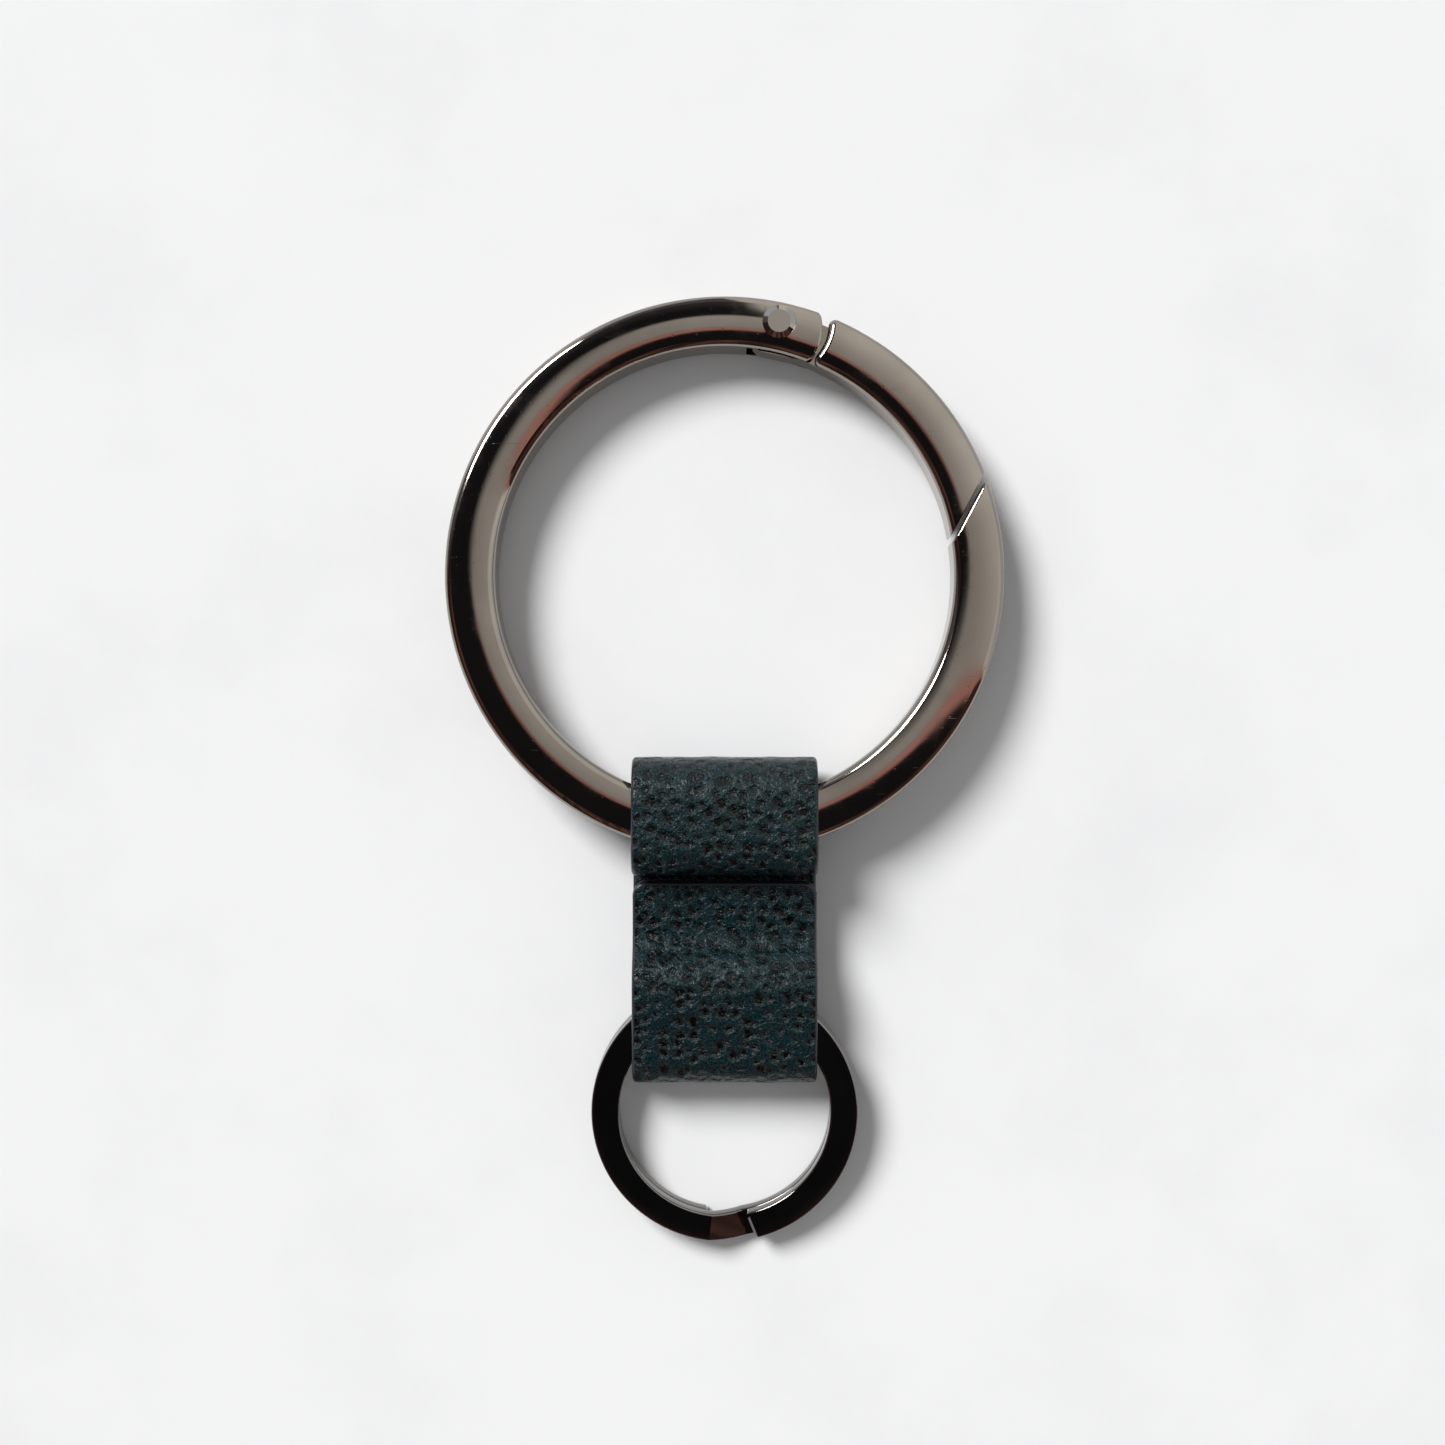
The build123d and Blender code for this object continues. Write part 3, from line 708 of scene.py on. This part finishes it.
@dataclass
class SplitRing:
    """One flat wire wound twice: a full turn above, a step down along the circle, a turn below."""

    finish: PlatedMetal = PlatedMetal("black_nickel_wire", (0.15, 0.142, 0.135), (0.2, 0.19, 0.182))
    wire_width: float = 2.5
    wire_thickness: float = 1.24
    edge: float = 0.2
    level: float = 0.66
    start: float = -78.4
    step_start: float = 263.2
    step_end: float = 279.4
    end: float = 621.0
    slant: float = 0.16
    slant_length: float = 8.0
    bevel: float = 0.26
    bevel_depth: float = 0.208

    def section(self) -> Grid:
        """Rounded rectangle: arcs of the edge radius about its four inner corners.

        Returns:
            Points as (outwards, up) from the wire's middle.
        """
        angle = np.radians(np.linspace(0, 90, 6)[None, :] + 90 * np.arange(4)[:, None])
        across = np.array([1, -1, -1, 1])[:, None] * (self.wire_width / 2 - self.edge)
        up = np.array([1, 1, -1, -1])[:, None] * (self.wire_thickness / 2 - self.edge)
        points = [across + self.edge * np.cos(angle), up + self.edge * np.sin(angle)]
        return np.stack(points, axis=-1).reshape(-1, 2)

    def build(self) -> list[bpy.types.Object]:
        """Carry the section along the wire, and close both ends.

        At angle a the wire's middle lies on the ring's middle circle, at a height that falls
        evenly from one level to the other over the step. The ends are cut on a slant, later in
        angle with the radius, and bevelled by a smaller first and last section.

        Returns:
            The split ring.
        """
        ring = RingPlace.of("split_ring_turn", "split_ring")
        middle = ring.radius - self.wire_width / 2
        bevel = math.degrees(self.bevel / middle)
        turn = np.concatenate([
            [self.start],
            np.linspace(self.start + bevel, self.step_start, 171),
            np.linspace(self.step_start, self.step_end, 13)[1:],
            np.linspace(self.step_end, self.end - bevel, 171)[1:],
            [self.end],
        ])
        profile = self.section()
        scale = np.ones((len(turn), 1, 2))
        size = np.array([self.wire_width, self.wire_thickness])
        scale[0] = scale[-1] = 1 - 2 * self.bevel_depth / size
        points = profile[None] * scale
        fade = np.clip(1 - np.abs(turn - self.start) / self.slant_length, 0, 1)
        fade -= np.clip(1 - np.abs(turn - self.end) / self.slant_length, 0, 1)
        angle = np.radians(turn)[:, None]
        angle = angle + fade[:, None] * self.slant * (points[..., 0] + self.wire_width / 2) / middle
        radius = middle + points[..., 0]
        fall = np.interp(turn, [self.step_start, self.step_end], [self.level, -self.level])
        height = points[..., 1] + fall[:, None]
        x, y = radius * np.cos(angle), radius * np.sin(angle)
        lean = ring.tilt
        places = np.stack([
            x,
            ring.centre_y + y * math.cos(lean) + height * math.sin(lean),
            ring.height - y * math.sin(lean) + height * math.cos(lean),
        ], axis=-1)
        rows, columns = places.shape[:2]
        index = np.arange(rows * columns).reshape(rows, columns)
        after = np.roll(index, -1, axis=1)
        quads = np.stack([index[:-1], index[1:], after[1:], after[:-1]], axis=-1).reshape(-1, 4)
        mesh = bpy.data.meshes.new("two_turn_split_ring")
        caps = [index[0].tolist(), index[-1, ::-1].tolist()]
        mesh.from_pydata((places.reshape(-1, 3) * MM).tolist(), [], quads.tolist() + caps)
        mesh.polygons.foreach_set("use_smooth", np.ones(len(mesh.polygons), dtype=bool))
        mesh.set_sharp_from_angle(angle=math.radians(20))
        mesh.materials.append(self.finish.material())
        made = bpy.data.objects.new("two_turn_split_ring", mesh)
        bpy.context.scene.collection.objects.link(made)
        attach(made, "small_ring")
        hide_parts("split_ring")
        return [made]


@dataclass
class MetalPieces:
    """The plated pieces, whose solids are right as they are."""

    ring: PlatedMetal = PlatedMetal("gunmetal_ring", (0.262, 0.232, 0.2), (0.305, 0.27, 0.236))
    gate: PlatedMetal = PlatedMetal("gunmetal_gate", (0.265, 0.235, 0.203), (0.31, 0.275, 0.24))
    rivet: PlatedMetal = PlatedMetal("gunmetal_rivet", (0.3, 0.268, 0.235), (0.34, 0.31, 0.275))
    spring: PlatedMetal = PlatedMetal("spring_steel", (0.5, 0.5, 0.51), (0.6, 0.6, 0.61), 0.2)

    def build(self) -> list[bpy.types.Object]:
        """Dress each metal node.

        Returns:
            The dressed nodes.
        """
        finishes = {
            "gate_ring_body": self.ring,
            "gate": self.gate,
            "hinge_rivet": self.rivet,
            "gate_spring": self.spring,
        }
        made = []
        for node, finish in finishes.items():
            piece = frame["nodes"][node]
            material = finish.material()
            for slot in piece.material_slots:
                slot.material = material
            made.append(piece)
        return made


# ---------------------------------------------------------------------------------------------
# Studio
# ---------------------------------------------------------------------------------------------

@dataclass
class Studio:
    """White table, soft light from the upper left, and a room for the metal to reflect."""

    table: float = 1.5
    lamp_strength: float = 3.15
    lamp_spread: float = 24.0
    lamp_turn: float = 133.0
    lamp_lean: float = 47.0
    ambient: float = 0.27
    camera_place: tuple[float, float, float] = (-0.19, 4.35, 185.8)
    view_width: float = 128.5
    view_height: float = 5.8

    def build(self) -> None:
        """Make the table, the lamp, the room and the camera."""
        self.lay_table()
        self.hang_lamp()
        self.paint_room()
        self.set_camera()
        bpy.context.scene.view_settings.view_transform = "Standard"

    def lay_table(self) -> None:
        """Matt white table just under the holder, with a faint mottle."""
        half = self.table / 2
        low = -0.00002
        mesh = bpy.data.meshes.new("table_top")
        corners = [(-half, -half, low), (half, -half, low), (half, half, low), (-half, half, low)]
        mesh.from_pydata(corners, [], [(0, 1, 2, 3)])
        table = bpy.data.objects.new("table_top", mesh)
        bpy.context.scene.collection.objects.link(table)
        material, shade = new_material("white_table")
        place = shade.add("TexCoord", {}).outputs["Object"]
        mottle = shade.ease(shade.noise(place, 38.0, 6.0, 0.6), 0.42, 0.72)
        colour = shade.blend(mottle, (0.945, 0.948, 0.955), (0.9, 0.903, 0.912))
        shade.surface(Base_Color=colour, Roughness=0.7, Specular_IOR_Level=0.2)
        mesh.materials.append(material)

    def hang_lamp(self) -> None:
        """One broad soft lamp."""
        lamp = bpy.data.lights.new("window_light", "SUN")
        lamp.energy = self.lamp_strength
        lamp.angle = math.radians(self.lamp_spread)
        made = bpy.data.objects.new("window_light", lamp)
        made.rotation_euler = (0, math.radians(self.lamp_lean), math.radians(self.lamp_turn))
        bpy.context.scene.collection.objects.link(made)

    def paint_room(self) -> None:
        """World whose reflections hold a pale card up and to the right, and a dark room round it.

        Directions are read as the slopes x / z and y / z. The card is the union of a band above a
        leaning lower edge and a wedge to the right, with a pink strip under it. A window stands low
        at the upper left, and the room is pale towards the right.
        """
        world = bpy.data.worlds.new("room")
        bpy.context.scene.world = world
        world.use_nodes = True
        shade = Shading(world.node_tree)
        way = shade.add("TexCoord", {}).outputs["Generated"]
        x, y, z = shade.add("SeparateXYZ", {0: way}).outputs
        up = shade.math("MAXIMUM", z, 0.02)
        right, top = shade.math("DIVIDE", x, up), shade.math("DIVIDE", y, up)
        lean = shade.math("MULTIPLY_ADD", right, 0.3)
        shade.tree.links.new(top, lean.node.inputs[2])
        above = shade.ease(lean, 0.1, 0.14)
        left = shade.ease(right, -0.19, -0.04)
        under = shade.ease(top, 0.33, 0.39, 1.0, 0.0)
        wedge = shade.ease(right, 0.03, 0.07)
        band = shade.math("MULTIPLY", shade.math("MULTIPLY", left, under), above)
        side = shade.math("MULTIPLY", wedge, above)
        card = shade.math("MAXIMUM", band, side)
        rise = shade.ease(shade.math("ADD", right, top), 0.0, 0.9, 0.58, 1.15)
        pale = shade.add("VectorMath", {0: (1.0, 0.985, 0.965), "Scale": rise}, operation="SCALE")
        pink = shade.math("MULTIPLY", shade.ease(lean, 0.05, 0.085), shade.ease(right, -0.1, 0.0))
        pink = shade.math("MULTIPLY", pink, shade.ease(lean, 0.1, 0.16, 1.0, 0.0))
        streaks = shade.ease(shade.noise(shade.mapped(way, (5.0, 2.2, 3.0)), 1.0, 3.0), 0.4, 0.68)
        brown = shade.blend(streaks, (0.05, 0.026, 0.022), (0.26, 0.125, 0.105))
        brown = shade.blend(shade.ease(top, 0.28, 0.5), brown, (0.16, 0.155, 0.185))
        near = shade.ease(z, 0.74, 0.9)
        dark = shade.blend(near, brown, (0.017, 0.017, 0.019))
        dark = shade.blend(pink, dark, (0.8, 0.4, 0.35))
        toward = shade.add("VectorMath", {0: way, 1: (-0.53, 0.848, 0.0)}, operation="DOT_PRODUCT")
        window = shade.ease(toward.outputs["Value"], 0.84, 0.92)
        pale_side = shade.math("MULTIPLY", shade.ease(x, 0.3, 0.6), shade.ease(y, -0.3, -0.05))
        pale_side = shade.math("MULTIPLY", pale_side, shade.ease(z, 0.3, 0.5, 1.0, 0.0))
        far = shade.math("MAXIMUM", window, pale_side)
        room = shade.blend(card, dark, pale.outputs[0])
        room = shade.blend(far, room, (0.8, 0.88, 0.98))
        rays = shade.add("LightPath", {})
        colour = shade.blend(rays.outputs["Is Glossy Ray"], (self.ambient,) * 3, room)
        colour = shade.blend(rays.outputs["Is Camera Ray"], colour, (0.97, 0.97, 0.975))
        back = shade.add("Background", {"Color": colour, "Strength": 1.0})
        shade.add("OutputWorld", {"Surface": back.outputs[0]})

    def set_camera(self) -> None:
        """Camera straight above, framed to a width at the height of the rings' upper side."""
        lens = bpy.data.cameras.new("camera")
        x, y, z = (value * MM for value in self.camera_place)
        distance = self.camera_place[2] - self.view_height
        lens.lens = lens.sensor_width * distance / self.view_width
        lens.clip_start = 0.01
        made = bpy.data.objects.new("camera", lens)
        made.location = (x, y, z)
        bpy.context.scene.collection.objects.link(made)
        bpy.context.scene.camera = made


def main() -> None:
    """Build the holder's pieces and the studio."""
    logging.basicConfig(level=logging.INFO, format="%(message)s")
    strap = LeatherStrap(FoldedStrap(), PebbledLeather(), SmoothLining())
    for assembly in (strap, MetalPieces(), SplitRing()):
        for piece in assembly.build():
            log.info("%s: %d faces", piece.name, len(piece.data.polygons))
    Studio().build()


if __name__ == "__main__":
    main()
